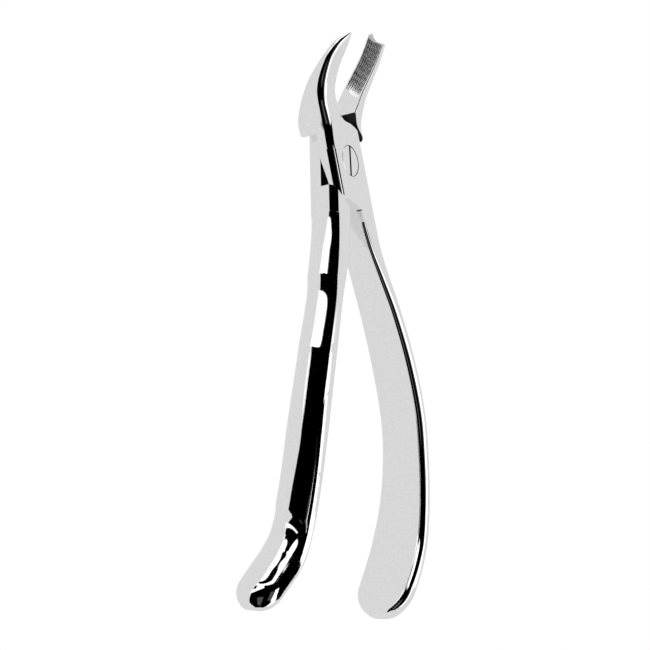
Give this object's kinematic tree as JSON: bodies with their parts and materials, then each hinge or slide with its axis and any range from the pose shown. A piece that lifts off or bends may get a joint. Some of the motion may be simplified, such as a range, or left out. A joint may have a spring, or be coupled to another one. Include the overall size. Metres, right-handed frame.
{
  "type": "extraction forceps",
  "caption": "Dental extraction forceps: two polished steel halves crossing in a screwed lap joint, with a claw and a notched gouge beak, a wide palm handle and a grooved, hooked finger handle.",
  "frame": {"origin": "where the pivot axis meets the flat back face of the lap joint, at the middle of the threaded end of the screw", "axes": "+Z along the tool towards the beaks, -Y out of the face that shows the screw head, +X towards the palm handle"},
  "size_m": [0.0878, 0.0355, 0.1689],
  "materials": {
    "palm_steel": "mirror polished stainless steel",
    "finger_steel": "mirror polished stainless steel",
    "screw_steel": "polished stainless steel, ground flush"
  },
  "bodies": {
    "front_half": {"palm_half": "palm_steel"},
    "back_half": {"finger_half": "finger_steel", "joint_screw": "screw_steel"}
  },
  "joints": [
    {"name": "jaw_pivot", "type": "hinge", "parent": "front_half", "child": "back_half", "pos_m": [0, 0, 0], "axis": [0, 1, 0], "range_deg": [-20, 15]}
  ]
}
